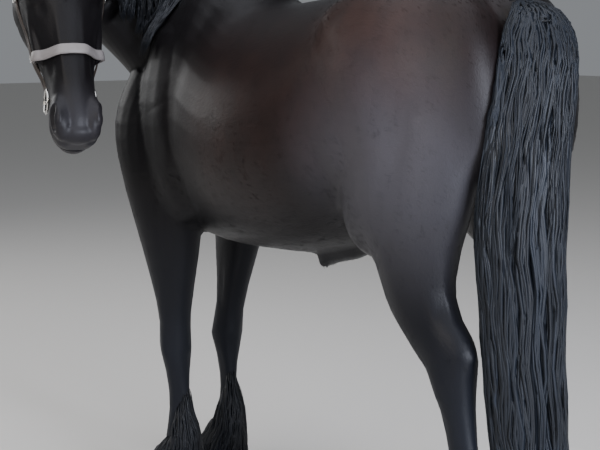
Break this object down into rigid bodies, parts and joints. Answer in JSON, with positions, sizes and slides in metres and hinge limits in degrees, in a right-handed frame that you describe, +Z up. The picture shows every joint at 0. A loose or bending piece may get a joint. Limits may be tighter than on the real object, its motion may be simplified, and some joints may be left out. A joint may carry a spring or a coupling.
{
  "type": "friesian horse",
  "caption": "Life-size standing model of a black Friesian horse that looks back over its left shoulder, with a bridle, long wavy tail, mane and leg feathers.",
  "frame": {"origin": "on the floor, at the centre of the model's box seen from above", "axes": "the horse stands facing -Y, its left side is +X and +Z is up"},
  "size_m": [0.9679, 1.6855, 1.8416],
  "materials": {
    "coat": "short black coat with a soft sheen, browner on the haunch and flank",
    "hair": "long wavy black hair of mane, forelock, tail and feathers",
    "hoof": "dark hoof horn with fine upright grain",
    "eye": "wet dark brown eye",
    "strap": "black bridle leather",
    "band": "pale grey padded noseband",
    "steel": "polished steel fittings"
  },
  "bodies": {
    "root": {"torso": "coat", "neck": "coat", "head": "coat", "tail": "hair", "noseband": "band", "ear_left": "coat", "ear_right": "coat", "eye_left": "eye", "eye_right": "eye", "foreleg_upper_left": "coat", "foreleg_lower_left": "coat", "hoof_fore_left": "hoof", "foreleg_upper_right": "coat", "foreleg_lower_right": "coat", "hoof_fore_right": "hoof", "hindleg_upper_left": "coat", "hindleg_lower_left": "coat", "hoof_hind_left": "hoof", "hindleg_upper_right": "coat", "hindleg_lower_right": "coat", "hoof_hind_right": "hoof", "cheekpiece_left": "strap", "bit_ring_left": "steel", "cheekpiece_right": "strap", "bit_ring_right": "steel", "headpiece": "strap", "browband": "strap"}
  },
  "joints": []
}
